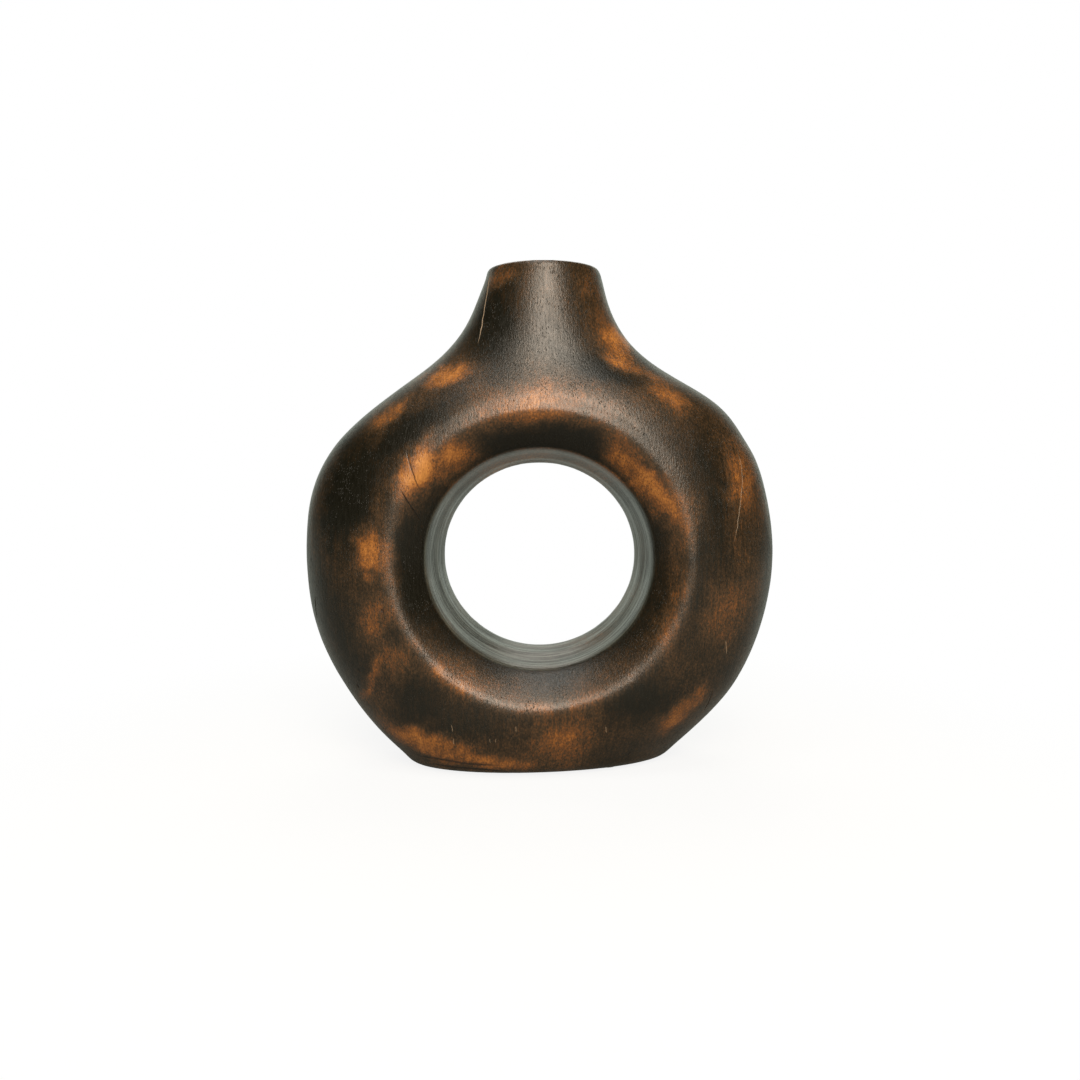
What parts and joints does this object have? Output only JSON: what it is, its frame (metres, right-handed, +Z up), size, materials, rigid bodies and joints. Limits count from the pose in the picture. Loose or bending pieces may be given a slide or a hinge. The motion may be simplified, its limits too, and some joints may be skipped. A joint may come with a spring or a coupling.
{
  "type": "vase",
  "caption": "Round flat-bodied wooden vase with a large hole through its middle, a short flared neck and a lift-out glass tube for stems.",
  "frame": {"origin": "middle of what the vase stands on, at the undersides of its felt pads", "axes": "+Z up the neck, X across the broad face, -Y out of the front face"},
  "size_m": [0.2716, 0.0958, 0.2845],
  "materials": {
    "stained_wood": "dark burnt stain, satin wax",
    "dowel_wood": "raw beech",
    "clear_glass": "clear",
    "felt": "pressed felt"
  },
  "bodies": {
    "vase": {"front_half": "stained_wood", "back_half": "stained_wood", "dowel_1": "dowel_wood", "dowel_2": "dowel_wood", "dowel_3": "dowel_wood", "dowel_4": "dowel_wood", "dowel_5": "dowel_wood", "dowel_6": "dowel_wood", "pad_front_left": "felt", "pad_front_right": "felt", "pad_back_left": "felt", "pad_back_right": "felt"},
    "tube": {"glass_tube": "clear_glass"}
  },
  "joints": [
    {"name": "tube_lift", "type": "slide", "parent": "vase", "child": "tube", "axis": [0, 0, 1], "range_m": [0, 0.11]}
  ]
}
